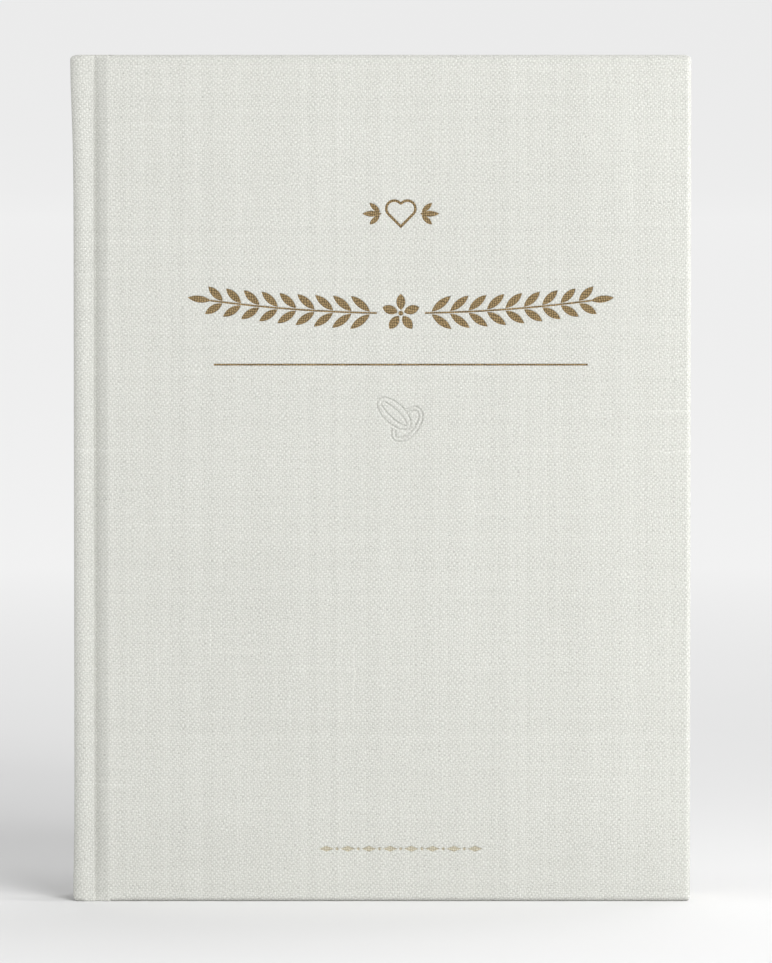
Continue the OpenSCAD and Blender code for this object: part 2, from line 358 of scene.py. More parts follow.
def weave_from_uv(net):
    uv = net.uv()
    parts = net.split(uv)
    group = net.add("ShaderNodeGroup", node_tree=WEAVE)
    net.tree.links.new(parts[0], group.inputs[0])
    net.tree.links.new(parts[1], group.inputs[1])
    return uv, group.outputs


def linen(net):
    """Off-white book cloth: threads in a plain weave, slubs, and broad soft mottling, with the
    weave's painted shade in the thread gaps and painted highlight on the warp crossings.
    """
    uv, (height, tone_with_painted_light, slub) = weave_from_uv(net)
    mottle = net.noise(uv, 18.0, 3.0)
    level = net.math("POWER", net.math("MAXIMUM", tone_with_painted_light, 0.0), 0.25)
    level = net.math("MULTIPLY_ADD", level, 1.75, -1.18)
    level = net.math("MULTIPLY_ADD", slub, 0.13, level)
    level = net.math("MULTIPLY_ADD", mottle, 0.10, level)
    colour = net.mix(level, (0.32, 0.32, 0.293), (0.69, 0.695, 0.655))
    return colour, net.bump(height, 0.16 * MM, 0.6)


def foil_look(shift, low, high):
    """Foil pressed into the cloth: the threads show through it. Its colour is darker in the gaps
    between threads and lighter on their crowns, a painted shade and highlight.
    """
    def build(net):
        place = net.place()
        parts = net.split(place)
        group = net.add("ShaderNodeGroup", node_tree=WEAVE)
        net.tree.links.new(net.math("ADD", parts[0], shift), group.inputs[0])
        net.tree.links.new(parts[2], group.inputs[1])
        height, tone_with_painted_light = group.outputs[0], group.outputs[1]
        speckle = net.noise(place, 2600.0, 2.0)
        # painted shade and highlight: the colour follows the height of the threads, darkest in
        # their gaps
        level = net.math("MULTIPLY_ADD", height, 1.0, net.math("MULTIPLY", tone_with_painted_light, 0.2))
        level = net.math("MULTIPLY_ADD", speckle, 0.5, net.math("SUBTRACT", level, 0.40))
        colour = net.mix(net.math("MULTIPLY", level, 1.0, clamp=True), low, high)
        return colour, net.bump(height, 0.10 * MM, 0.6)
    return build


def paper_tone(net, place, tint, shade):
    """Uncoated paper: faint fibres and a cloudy look-through."""
    fibres = net.noise(place, 900.0, 4.0, 0.65)
    clouds = net.noise(place, 25.0, 2.0)
    level = net.math("MULTIPLY_ADD", fibres, 0.5, net.math("MULTIPLY", clouds, 0.5))
    return net.mix(level, shade, tint), net.bump(fibres, 0.02 * MM, 0.5)


def endpaper_look(net):
    """Warm laid endpaper: chain lines that show faintly."""
    uv = net.uv()
    colour, normal = paper_tone(net, uv, (0.66, 0.635, 0.565), (0.60, 0.575, 0.505))
    ridge = net.ridges(net.split(uv)[0], math.pi / (12 * MM))
    chain = net.ranged(ridge, 0.0, 0.06, 0.25, 0.0)
    return net.mix(chain, colour, (0.52, 0.49, 0.43)), normal


RULE_PITCH = 9 * MM         # the printed lines of a page
RULE_T = 0.28 * MM
RULE_MARGIN = 20 * MM


def page_look(net):
    """Page paper, with pale ruled lines inside its margins."""
    uv = net.uv()
    colour, normal = paper_tone(net, uv, (0.71, 0.69, 0.63), (0.65, 0.63, 0.57))
    parts = net.split(uv)

    def between(value, low, high):
        return net.math("MULTIPLY", net.math("GREATER_THAN", value, low),
                        net.math("LESS_THAN", value, high))

    wide = between(parts[0], 2 * RULE_MARGIN, page_edge - 0.7 * RULE_MARGIN)
    tall = between(parts[1], overhang + RULE_MARGIN, book_h - overhang - 1.5 * RULE_MARGIN)
    row = net.math("FRACT", net.math("DIVIDE", parts[1], RULE_PITCH))
    line = net.math("LESS_THAN", row, RULE_T / RULE_PITCH)
    ink = net.math("MULTIPLY", net.math("MULTIPLY", wide, tall), line)
    return net.mix(net.math("MULTIPLY", ink, 0.6), colour, (0.40, 0.37, 0.32)), normal


def board_look(net):
    """Binder's board: grey-brown pulp with flecks."""
    place = net.place()
    pulp = net.noise(place, 700.0, 4.0, 0.7)
    flecks = net.ranged(net.noise(place, 1500.0, 1.0), 0.66, 0.74, 0.0, 1.0)
    base = net.mix(pulp, (0.30, 0.26, 0.21), (0.44, 0.39, 0.32))
    return net.mix(flecks, base, (0.16, 0.13, 0.10)), net.bump(pulp, 0.08 * MM, 0.6)


def gauze(net):
    """Mull: open cotton gauze, stiff with glue."""
    parts = net.split(net.place())
    rows = net.ridges(parts[2], 2600.0)
    columns = net.ridges(net.math("ADD", parts[0], parts[1]), 2600.0)
    threads = net.math("POWER", net.math("MAXIMUM", rows, columns), 6.0)
    return (net.mix(threads, (0.50, 0.46, 0.38), (0.78, 0.75, 0.68)),
            net.bump(threads, 0.1 * MM, 0.8))


def kraft(net):
    """Brown kraft paper."""
    fibres = net.noise(net.place(), 800.0, 4.0, 0.7)
    return (net.mix(fibres, (0.34, 0.22, 0.13), (0.50, 0.36, 0.23)),
            net.bump(fibres, 0.03 * MM, 0.5))


def cord_look(tint, shade, pitch):
    """Twisted or woven cotton: fine slanting ridges, with painted shade in the valleys between
    them.
    """
    def build(net):
        place = net.place()
        parts = net.split(place)
        slant = net.math("ADD", net.math("ADD", parts[2], parts[1]), parts[0])
        ridge = net.ridges(slant, math.pi / pitch)
        fuzz = net.noise(place, 3000.0, 2.0)
        # painted shade: the colour is darker in the valleys between the ridges
        level = net.math("MULTIPLY_ADD", fuzz, 0.3, net.math("MULTIPLY", ridge, 0.7))
        return net.mix(level, shade, tint), net.bump(ridge, 0.06 * MM, 0.7)
    return build


def headband_look(net):
    """Two thread colours wrapped in turn round a core."""
    uv = net.uv()
    wave = net.math("SINE", net.math("MULTIPLY", net.split(uv)[0], math.pi / (1.35 * MM)))
    stripe = net.ranged(wave, -0.15, 0.15, 0.0, 1.0)
    silk = net.noise(uv, 4000.0, 2.0)
    base = net.mix(stripe, (0.55, 0.47, 0.33), (0.80, 0.78, 0.72))
    return net.mix(net.math("MULTIPLY", silk, 0.35), base, (0.35, 0.31, 0.25)), None


# ---------------------------------------------------------------- the run of the cloth

GROOVE_FROM = 5.5 * MM      # where the cloth leaves the ridge
GROOVE_LOW = 6.4 * MM       # the lowest line of the groove
GROOVE_TO = board_start - 0.1 * MM
GROOVE_DEPTH = 1.8 * MM
RIDGE_DIP = 0.35 * MM       # how far the ridge falls before it drops into the groove
FLARE_HEAD = 0.9 * MM       # how far the spine swells at its head and tail
FLARE_TAIL = 0.4 * MM
JOINT_FOLD_T = 2.2 * cloth_t                    # from outside to turned-in cloth, joint
RIDGE_FOLD_T = 0.97 * spine_depth               # the same on the ridge


def groove(u):
    """Depth of the groove at full height, from the face of the cover."""
    if u <= GROOVE_LOW:
        drop = smooth((u - GROOVE_FROM) / (GROOVE_LOW - GROOVE_FROM))
        dip = RIDGE_DIP * smooth((u - spine_depth) / (GROOVE_FROM - spine_depth))
        return dip + (GROOVE_DEPTH - dip) * drop
    left = max(0.0, (GROOVE_TO - u) / (GROOVE_TO - GROOVE_LOW))
    ease = 0.08                                   # rounds the top of the slope
    share = left * left / (4 * ease) if left < 2 * ease else left - ease
    return GROOVE_DEPTH * share / (1 - ease)


def ends(z, reach):
    """1 in the middle of the height, falling to 0 at the head and at the tail."""
    near = min(z, book_h - z)
    return 1 - math.exp(-max(near, 0.0) / reach)


def place_on_case(column, z):
    """(u, h) of the outside of the cloth, with the groove's run-out and the spine's flare."""
    u, h, sunk = column["u"], column["h"], column["sunk"]
    h -= sunk * (0.45 + 0.55 * ends(z, 6 * MM))
    flare = (FLARE_HEAD * math.exp(-((book_h - z) / (22 * MM)) ** 2)
             + FLARE_TAIL * math.exp(-(z / (16 * MM)) ** 2))
    return u - flare * (1 - smooth(u / (7 * MM))), h


def case_columns():
    """Lines of the cloth from the middle of the spine to where the flat of the board
    begins. Each has its place, its run s along the cloth, the way in, and how thick
    the case is there between the outside and the turned-in cloth."""
    made = []

    def add(u, h, sunk, inward, thick):
        s = 0.0
        if made:
            last = made[-1]
            s = last["s"] + math.hypot(u - last["u"], (h - sunk) - (last["h"] - last["sunk"]))
        made.append({"u": u, "h": h, "sunk": sunk, "in": inward, "thick": thick, "s": s})

    corner = cover_t - spine_depth
    for k in range(9):
        add(0.0, -block_half + (corner + block_half) * k / 8, 0.0, (1, 0),
            spine_depth + cloth_t)
    for k in range(1, 11):
        a = math.radians(9 * k)
        add(spine_depth * (1 - math.cos(a)), corner + spine_depth * math.sin(a), 0.0,
            (math.cos(a), -math.sin(a)), RIDGE_FOLD_T)
    steps = 56
    for k in range(1, steps + 1):
        u = spine_depth + (GROOVE_TO + 0.3 * MM - spine_depth) * k / steps
        to_joint = smooth((u - spine_depth) / (0.9 * MM))
        to_board = smooth((u - board_start + 0.1 * MM) / (0.5 * MM))
        thick = RIDGE_FOLD_T * (1 - to_joint) + JOINT_FOLD_T * to_joint
        thick += (edge_t - thick) * to_board
        add(u, cover_t, groove(u), (0, -1), thick)
    return made


def wrap_profile(thick):
    """How the cloth goes over an edge: (out past the flat, depth below the outside, and
    the run along the cloth), from the flat of the face to the end of the turn-in."""
    outer_r = min(EDGE_R, thick / 2)
    inner_r = min(INNER_R, thick / 2)
    points = [(0.0, 0.0), (EDGE_R - outer_r, 0.0)]
    for k in range(1, 9):
        a = math.radians(90 * k / 8)
        points.append((EDGE_R - outer_r + outer_r * math.sin(a),
                       outer_r * (1 - math.cos(a))))
    for k in range(9):
        a = math.radians(90 * k / 8)
        points.append((EDGE_R - inner_r + inner_r * math.cos(a),
                       thick - inner_r * (1 - math.sin(a))))
    for share in (0.15, 0.4, 0.7, 1.0):
        points.append((EDGE_R - inner_r - share * (TURN_IN - inner_r), thick))
    runs = [0.0]
    for a, b in zip(points, points[1:]):
        runs.append(runs[-1] + math.dist(a, b))
    return [(e, d, r) for (e, d), r in zip(points, runs)]


def face_lines(low, high, count):
    return [low + (high - low) * k / count for k in range(count + 1)]


COLUMNS = case_columns()
FLAT_U = COLUMNS[-1]["u"]                       # where the flat of the board begins
FLAT_S = COLUMNS[-1]["s"]
EDGE_U = book_w - EDGE_R
FACE_U = face_lines(FLAT_U, EDGE_U, 24)
FACE_Z = face_lines(EDGE_R, book_h - EDGE_R, 40)


def edge_ring():
    """The line round the flat of the face where the cloth starts over the edges: tail,
    fore-edge, head. Each stop has its place, its way out, and its column if it has one."""
    tail = [{"u": c["u"], "z": EDGE_R, "out": (0, -1), "column": c} for c in COLUMNS]
    tail += [{"u": u, "z": EDGE_R, "out": (0, -1)} for u in FACE_U[1:]]
    fore = [{"u": EDGE_U, "z": z, "out": (1, 0)} for z in FACE_Z]
    head = [{**stop, "z": book_h - EDGE_R, "out": (0, 1)} for stop in reversed(tail)]

    def corner(z, first):
        made = []
        for k in range(1, 8):
            a = math.radians(first + 90 * k / 8)
            made.append({"u": EDGE_U, "z": z, "out": (math.cos(a), math.sin(a)),
                         "corner": True})
        return made

    return tail + corner(EDGE_R, -90) + fore + corner(book_h - EDGE_R, 0) + head


def ring_point(stop, out, depth):
    """(u, h, z) of the wrapped cloth. The turned-in parts meet in a mitre."""
    du, dz = stop["out"]
    if "column" in stop:
        column = stop["column"]
        z = stop["z"] + out * dz
        u, h = place_on_case(column, z)
        return u + column["in"][0] * depth, h + column["in"][1] * depth, z
    if out < 0:
        far_u = EDGE_U + out
        low_z, high_z = EDGE_R - out, book_h - EDGE_R + out
        if stop.get("corner"):
            return far_u, cover_t - depth, low_z if stop["z"] < book_h / 2 else high_z
        if du:
            return far_u, cover_t - depth, min(max(stop["z"], low_z), high_z)
        return min(stop["u"], far_u), cover_t - depth, stop["z"] + out * dz
    bulge = (abs(du) ** 2.6 + abs(dz) ** 2.6) ** (-1 / 2.6)   # squarer than a ball
    return stop["u"] + out * du * bulge, cover_t - depth, stop["z"] + out * dz * bulge


def ring_uv(stop, run):
    du, dz = stop["out"]
    s = stop["column"]["s"] if "column" in stop else FLAT_S + stop["u"] - FLAT_U
    return s + run * du, stop["z"] + run * dz


# ---------------------------------------------------------------- the stamped face

LINE_W = 0.95 * MM          # width of a pressed ring line
LINE_DEPTH = 0.34 * MM
SHOULDER = 0.22 * MM        # how far the cloth slopes down to a stamped shape


def floor_outlines(node):
    """The outlines, in (u, z), of the outer faces of a thin CAD plate on the front."""
    mesh = frame["nodes"][node].data
    count, ends_of = {}, {}
    key = [tuple(round(c * 1e6) for c in (v.co.x, v.co.z)) for v in mesh.vertices]
    for poly in mesh.polygons:
        if poly.normal.y > -0.9:
            continue
        loop = [key[i] for i in poly.vertices]
        for a, b in zip(loop, loop[1:] + loop[:1]):
            pair = (min(a, b), max(a, b))
            count[pair] = count.get(pair, 0) + 1
            ends_of[pair] = (a, b)
    follow = {}
    for pair, seen in count.items():
        if seen == 1:
            a, b = ends_of[pair]
            follow[a] = b
    loops = []
    while follow:
        start, at = next(iter(follow.items()))
        loop = [start]
        del follow[start]
        while at in follow:
            loop.append(at)
            at = follow.pop(at)
        loops.append(np.array(loop, float) * 1e-6 - np.array([spine_x, 0.0]))
    return [loop for loop in loops if len(loop) > 2]


def grown(loop, by):
    """A loop moved to its right-hand side, which is outwards for an outer outline."""
    before, after = np.roll(loop, 1, axis=0), np.roll(loop, -1, axis=0)
    first, second = loop - before, after - loop
    first /= np.linalg.norm(first, axis=1)[:, None] + 1e-12
    second /= np.linalg.norm(second, axis=1)[:, None] + 1e-12
    way = first + second
    way /= np.linalg.norm(way, axis=1)[:, None] + 1e-12
    return loop + by * np.stack([way[:, 1], -way[:, 0]], axis=1)


def distance_to(points, loops):
    """Distance from each point to the nearest edge of the loops."""
    best = np.full(len(points), 1.0)
    for loop in loops:
        a, b = loop, np.roll(loop, -1, axis=0)
        ab = b - a
        size = (ab * ab).sum(1) + 1e-18
        near = np.where((points[:, 0] > loop[:, 0].min() - MM)
                        & (points[:, 0] < loop[:, 0].max() + MM)
                        & (points[:, 1] > loop[:, 1].min() - MM)
                        & (points[:, 1] < loop[:, 1].max() + MM))[0]
        if not len(near):
            continue
        p = points[near][:, None, :]
        t = np.clip(((p - a) * ab).sum(2) / size, 0, 1)
        gap = np.linalg.norm(p - (a + t[..., None] * ab), axis=2).min(1)
        best[near] = np.minimum(best[near], gap)
    return best


def inside(points, loops):
    """Whether each point lies inside the loops, counted even and odd."""
    crossed = np.zeros(len(points), int)
    for loop in loops:
        a, b = loop, np.roll(loop, -1, axis=0)
        for (x0, z0), (x1, z1) in zip(a, b):
            if z0 == z1:
                continue
            spans = (points[:, 1] > min(z0, z1)) & (points[:, 1] <= max(z0, z1))
            reach = x0 + (points[:, 1] - z0) * (x1 - x0) / (z1 - z0)
            crossed += spans & (points[:, 0] < reach)
    return crossed % 2 == 1


# The two rings that are pressed without foil: middle, tilt, and half axes of the outer
# and inner outlines, from the centre line of the stamping.
RING_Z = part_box("rule_foil")[0].z - 15.5 * MM
FRONT_RING = {"at": (-2.0, 1.4), "tilt": -43, "rims": ((6.1, 3.0), (4.9, 1.25))}
BACK_RING = {"at": (1.8, -1.7), "tilt": 51, "rims": ((5.9, 3.4), (4.8, 2.2))}


def ring_line(ring, rim, steps=72):
    tilt = math.radians(ring["tilt"])
    points = []
    for k in range(steps):
        t = 2 * math.pi * k / steps
        x, z = rim[0] * math.cos(t), rim[1] * math.sin(t)
        points.append((stamp_u + (ring["at"][0] + x * math.cos(tilt) - z * math.sin(tilt)) * MM,
                       RING_Z + (ring["at"][1] + x * math.sin(tilt) + z * math.cos(tilt)) * MM))
    return np.array(points)


def ring_strokes():
    """The pressed lines as open or closed runs. The back ring stops at the front one."""
    strokes = [(ring_line(FRONT_RING, rim), True) for rim in FRONT_RING["rims"]]
    outer = ring_line(FRONT_RING, FRONT_RING["rims"][0])
    for rim in BACK_RING["rims"]:
        line = ring_line(BACK_RING, rim)
        hidden = inside(line, [outer]) | (distance_to(line, [outer]) < LINE_W * 0.6)
        if not hidden.any():
            strokes.append((line, True))
            continue
        start = int(np.argmax(hidden))
        order = [(start + k) % len(line) for k in range(len(line))]
        run = []
        for i in order + [start]:
            if hidden[i]:
                if len(run) > 2:
                    strokes.append((np.array(run), False))
                run = []
            else:
                run.append(line[i])
    return strokes


def stamped_face():
    """Triangles of the front face, with its stamped shapes sunk below it."""
    outlines = []
    for node in ("sprig_foil", "garland_foil", "rule_foil", "lozenge_foil"):
        outlines += floor_outlines(node)
    strokes = ring_strokes()
    points, edges, line_points = [], [], []

    def add_run(run, closed):
        first = len(points)
        points.extend(map(tuple, run))
        count = len(run)
        edges.extend((first + k, first + (k + 1) % count)
                     for k in range(count if closed else count - 1))

    border = [(u, EDGE_R) for u in FACE_U] + [(EDGE_U, z) for z in FACE_Z[1:]]
    border += [(u, book_h - EDGE_R) for u in FACE_U[-2::-1]]
    border += [(FLAT_U, z) for z in FACE_Z[-2:0:-1]]
    add_run(border, True)
    for loop in outlines:
        add_run(loop, True)
        add_run(grown(loop, SHOULDER), True)
    for line, closed in strokes:
        add_run(line, closed)
        line_points.append(line)
        if closed:
            add_run(grown(line, LINE_W / 2), True)
            add_run(grown(line, -LINE_W / 2), True)
        else:
            ahead = np.gradient(line, axis=0)
            ahead /= np.linalg.norm(ahead, axis=1)[:, None]
            across = np.stack([ahead[:, 1], -ahead[:, 0]], axis=1) * LINE_W / 2
            tip = ahead[-1] * LINE_W / 2
            tail = ahead[0] * LINE_W / 2
            add_run(np.vstack([line + across, line[-1] + tip, (line - across)[::-1],
                               line[0] - tail]), True)
    flat, _, faces, _, _, _ = geometry.delaunay_2d_cdt(
        [Vector(p) for p in points], edges, [], 0, 1e-7)
    flat = np.array([tuple(p) for p in flat])
    gap = distance_to(flat, outlines)
    within = inside(flat, outlines)
    on_line = gap < 2e-6
    sunk = np.where(within | on_line, stamp_depth,
                    stamp_depth * np.clip(1 - gap / SHOULDER, 0, 1))
    stroke_gap = np.full(len(flat), 1.0)
    for line in line_points:
        away = np.linalg.norm(flat[:, None, :] - line[None, :, :], axis=2).min(1)
        stroke_gap = np.minimum(stroke_gap, away)
    sunk = np.maximum(sunk, LINE_DEPTH * np.clip(1 - stroke_gap / (LINE_W * 0.5), 0, 1))
    return flat, sunk, faces


# ---------------------------------------------------------------- case cloth

def case_cloth(side, cloth):
    """One half of the case's cloth: spine, ridge, groove, face, edges and turn-ins."""
    made = Surface()
    flip = side == BACK
    sign = -side                                  # the cloth's run s, front half positive

    def at(u, h, z):
        return world(side, u, h, z)

    rows = [[at(*place_on_case(c, z), z) for z in FACE_Z] for c in COLUMNS]
    made.grid(rows, [[(sign * c["s"], z) for z in FACE_Z] for c in COLUMNS], flip)
    if side == FRONT:
        flat, sunk, faces = stamped_face()
        for face in faces:
            corners = [at(flat[i][0], cover_t - sunk[i], flat[i][1]) for i in face]
            made.face(corners, [(FLAT_S + flat[i][0] - FLAT_U, flat[i][1]) for i in face])
    else:
        rows = [[at(u, cover_t, z) for z in FACE_Z] for u in FACE_U]
        uvs = [[(-(FLAT_S + u - FLAT_U), z) for z in FACE_Z] for u in FACE_U]
        made.grid(rows, uvs, flip)
    stops = edge_ring()
    profiles = [wrap_profile(stop["column"]["thick"] if "column" in stop else edge_t)
                for stop in stops]
    rows, uvs = [], []
    for k in range(len(profiles[0])):
        row, uv_row = [], []
        for stop, profile in zip(stops, profiles):
            out, depth, run = profile[k]
            row.append(at(*ring_point(stop, out, depth)))
            s, v = ring_uv(stop, run)
            uv_row.append((sign * s, v))
        rows.append(row)
        uvs.append(uv_row)
    made.grid(rows, uvs, flip)
    made.weld()
    name = SIDE_NAME[side]
    piece = made.piece(f"case_cloth_{name}", cloth, 14)
    thicken(piece, cloth_t)
    soften(piece, 14)
    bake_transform(piece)
    replaced = [f"{name}_cover_cloth", f"{name}_joint_cloth"]
    if side == FRONT:
        replaced.append("spine_cloth")
    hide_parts(*replaced)
    return piece


# ---------------------------------------------------------------- paper

def thin_sheet(made, us, zs, height_of, thickness, side):
    """A closed leaf: its outer face at height_of(u, z), and its inner face below it."""
    outer = [[world(side, u, height_of(u, z), z) for z in zs] for u in us]
    inner = [[world(side, u, height_of(u, z) - thickness, z) for z in zs] for u in us]
    uvs = [[(u, z) for z in zs] for u in us]
    flip = side == BACK
    made.grid(outer, uvs, flip)
    made.grid(inner, uvs, not flip)
    rim = [(i, 0) for i in range(len(us))] + [(len(us) - 1, j) for j in range(1, len(zs))]
    rim += [(i, len(zs) - 1) for i in range(len(us) - 2, -1, -1)]
    rim += [(0, j) for j in range(len(zs) - 2, -1, -1)]
    top = [outer[i][j] for i, j in rim]
    low = [inner[i][j] for i, j in rim]
    edge_uv = [uvs[i][j] for i, j in rim]
    made.grid([low, top], [edge_uv, edge_uv], flip)


BEND_END = 24 * MM          # the leaves are divided closely between their folds and here
LEAVES = 8
ROOT_U = fold_u + 0.7 * MM


def leaf_lines(first, last):
    """Where a leaf is divided: closely near its fold, and widely beyond."""
    near = [first + (BEND_END - first) * (k / 16) for k in range(17)]
    far = [BEND_END + (last - BEND_END) * (k / 8) for k in range(1, 9)]
    return near + far


def section_piece(number, look):
    """One section: eight leaves, each a little out of true with the next."""
    node = f"section_{number:02d}"
    low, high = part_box(node)
    body = next(b for b, names in frame["record"]["behaviour"]["bodies"].items()
                if node in names)
    side = BACK if number > HALF else FRONT
    outer = max(abs(low.y), abs(high.y)) - block_half
    if number in (HALF, HALF + 1):
        outer = (high.y if side == BACK else -low.y) - block_half
    pitch = (high.y - low.y) / LEAVES
    rng = random.Random(100 + number)
    made = Surface()
    for leaf in range(LEAVES):
        top = outer - leaf * pitch - 0.01 * MM
        last = page_edge - rng.uniform(0.0, 0.12) * MM
        zs = face_lines(overhang + rng.uniform(0.0, 0.06) * MM,
                        book_h - overhang - rng.uniform(0.0, 0.06) * MM, 8)
        phase, waves = rng.uniform(0, 6.28), rng.uniform(9, 16)

        def height(u, z, top=top, phase=phase, waves=waves):
            return top - 0.008 * MM * (1 + math.sin(phase + waves * (u + 0.7 * z) * 10))

        thin_sheet(made, leaf_lines(ROOT_U, last), zs, height, pitch - 0.03 * MM, side)
    made.weld(1e-8)
    piece = made.piece(f"{node}_leaves", look)
    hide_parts(node)
    if body == "book_block":
        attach(piece, body)
    else:
        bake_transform(piece)
    return piece


def flyleaf(side, look):
    """The free endpaper, divided closely beside the sewn folds."""
    name = f"{SIDE_NAME[side]}_flyleaf"
    low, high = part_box(name)
    outer = max(abs(low.y), abs(high.y)) - block_half
    thickness = high.y - low.y
    made = Surface()
    zs = face_lines(overhang, book_h - overhang, 10)
    thin_sheet(made, leaf_lines(ROOT_U, page_edge), zs,
               lambda u, z: outer - 0.01 * MM, thickness - 0.03 * MM, side)
    made.weld(1e-8)
    piece = made.piece(f"{name}_sheet", look)
    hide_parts(name)
    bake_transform(piece)
    return piece


def pastedown(side, look):
    """The pasted endpaper with its joint. It shows the turned-in cloth and the mull
    under it as soft steps."""
    name = SIDE_NAME[side]
    gap = -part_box("front_pastedown")[1].y - block_half       # its face, out from the pages
    thickness = 0.2 * MM
    step = cloth_t
    window_u = book_w - TURN_IN
    board_u = board_start + 0.9 * MM
    soft = 0.9 * MM                               # the length of a step

    def over(value, edge):
        return smooth((value - edge) / soft + 0.5)

    def height(u, z):
        """Height of the side that is glued, from the pages."""
        inner = (over(z, TURN_IN) * over(book_h - z, TURN_IN)
                 * (1 - over(u, window_u)) * over(u, board_u))
        mull = over(z, flap_z) * over(book_h - z, flap_z) * (1 - over(u, flap_end))
        return gap + thickness + inner * (step - 0.5 * step * mull)

    def steps_at(low, high, edges, count):
        lines = set(face_lines(low, high, count))
        for edge in edges:
            for k in range(-3, 4):
                at = edge + soft * k / 6
                if low < at < high:
                    lines.add(at)
        return sorted(lines)

    joint = face_lines(fold_u, board_start, 14)[:-1]
    us = joint + steps_at(board_start, page_edge, (board_u, flap_end, window_u), 14)
    zs = steps_at(overhang, book_h - overhang,
                  (TURN_IN, book_h - TURN_IN, flap_z, book_h - flap_z), 16)
    made = Surface()
    thin_sheet(made, us, zs, height, thickness, side)
    made.weld(1e-8)
    piece = made.piece(f"{name}_endpaper_pasted", look)
    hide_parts(f"{name}_pastedown", f"{name}_joint_endpaper")
    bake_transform(piece)
    return piece


def sewn_folds(look):
    """The rounded backs of the sections, with the glue line between them."""
    made = Surface()
    low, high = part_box("section_folds")
    first = -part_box("section_01")[0].y
    pitch = 2 * first / SECTIONS
    radius = pitch / 2
    depth = ROOT_U + 0.5 * MM - fold_u
    outline = []
    for k in range(SECTIONS):
        middle = -first + (k + 0.5) * pitch
        for step in range(9):
            a = math.radians(-80 + 20 * step)
            outline.append((low.x + radius * (1 - math.cos(a)), middle + radius * math.sin(a)))
    outline = [(low.x + depth, -first)] + outline + [(low.x + depth, first)]
    zs = face_lines(low.z, high.z, 6)
    rows = [[(x, y, z) for z in zs] for x, y in outline]
    made.grid(rows, [[(y, z) for z in zs] for x, y in outline], True)
    back = [rows[-1], rows[0]]
    made.grid(back, [[(0, z) for z in zs], [(1 * MM, z) for z in zs]], True)
    for z, flip in ((zs[0], True), (zs[-1], False)):
        for (x0, y0), (x1, y1) in zip(outline, outline[1:]):
            quad = [(x0, y0, z), (x1, y1, z), (low.x + depth, y1, z), (low.x + depth, y0, z)]
            made.face(quad if flip else quad[::-1], [(0, 0)] * 4)
    made.weld(1e-7)
    bmesh.ops.recalc_face_normals(made.bm, faces=made.bm.faces)
    piece = made.piece("sewn_folds", look, 50)
    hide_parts("section_folds")
    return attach(piece, "book_block")


# ---------------------------------------------------------------- headbands

def end_band(name, look):
    """A core wrapped with thread, on its tab behind the folds."""
    low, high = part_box(name)
    radius = 0.75 * MM
    top = name == "headband"
    middle_x = high.x - radius
    middle_z = (high.z - radius) if top else (low.z + radius)
    steps = 3 * 84                                # three to each turn of the thread
    around = 20
    made = Surface()
    rows, uvs = [], []
    for i in range(steps + 1):
        y = low.y + (high.y - low.y) * i / steps
        swell = radius * (0.95 + 0.05 * abs(math.sin(math.pi * i / 3)))
        ring, ring_uv_row = [], []
        for j in range(around + 1):
            a = 2 * math.pi * j / around
            ring.append((middle_x + swell * math.cos(a), y, middle_z + swell * math.sin(a)))
            ring_uv_row.append((y + radius * a * 0.12, radius * a))
        rows.append(ring)
        uvs.append(ring_uv_row)
    made.grid(rows, uvs, True)
    for row, flip in ((rows[0], True), (rows[-1], False)):
        made.face(row[:-1] if flip else row[:-1][::-1], [(0, 0)] * around)
    tab_z = (low.z, middle_z) if top else (middle_z, high.z)
    tab_x = (low.x, low.x + 0.25 * MM)
    corners = [(x, y, z) for x in tab_x for y in (low.y, high.y) for z in tab_z]
    for quad in ((0, 1, 3, 2), (4, 6, 7, 5), (0, 4, 5, 1), (2, 3, 7, 6), (0, 2, 6, 4),
                 (1, 5, 7, 3)):
        made.face([corners[i] for i in quad], [(corners[i][1], corners[i][2]) for i in quad])
    made.weld(1e-7)
    bmesh.ops.recalc_face_normals(made.bm, faces=made.bm.faces)
    piece = made.piece(f"{name}_wrapped", look, 50)
    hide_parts(name)
    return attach(piece, "book_block")


# ---------------------------------------------------------------- build the object

CLOTH = material("book_cloth", linen, 0.82, Sheen_Weight=0.12, Sheen_Roughness=0.5,
                 Specular_IOR_Level=0.25)
SHIFT = FLAT_S - FLAT_U - spine_x
GOLD = material("gold_foil", foil_look(SHIFT, (0.025, 0.016, 0.006), (0.33, 0.235, 0.115)),
                0.42, Metallic=0.75)
PALE = material("pale_gold_foil", foil_look(SHIFT, (0.27, 0.245, 0.18), (0.53, 0.49, 0.38)),
                0.45, Metallic=0.6)
PAGES = material("page_paper", page_look, 0.8, Specular_IOR_Level=0.3)
ENDPAPER = material("endpaper", endpaper_look, 0.75, Specular_IOR_Level=0.3)
BOARD = material("binders_board", board_look, 0.9)
MULL = material("mull", gauze, 0.9)
KRAFT = material("kraft_liner", kraft, 0.85)
TAPE = material("linen_tape", cord_look((0.80, 0.78, 0.72), (0.60, 0.57, 0.50), 0.4 * MM),
                0.9)
THREAD = material("waxed_thread", cord_look((0.80, 0.77, 0.69), (0.58, 0.54, 0.45),
                                            0.25 * MM), 0.7)
BAND = material("headband_silk", headband_look, 0.6, Sheen_Weight=0.2)

KEPT = {
    "front_board": BOARD, "back_board": BOARD, "spine_board": BOARD,
    "front_mull_flap": MULL, "back_mull_flap": MULL, "spine_mull": MULL,
    "spine_liner": KRAFT, "sewing_tapes": TAPE, "sewing_thread": THREAD,
    "sprig_foil": GOLD, "garland_foil": GOLD, "rule_foil": GOLD, "lozenge_foil": PALE,
}
for node_name, look in KEPT.items():
    slots = frame["nodes"][node_name].data.materials
    slots.clear()
    slots.append(look)

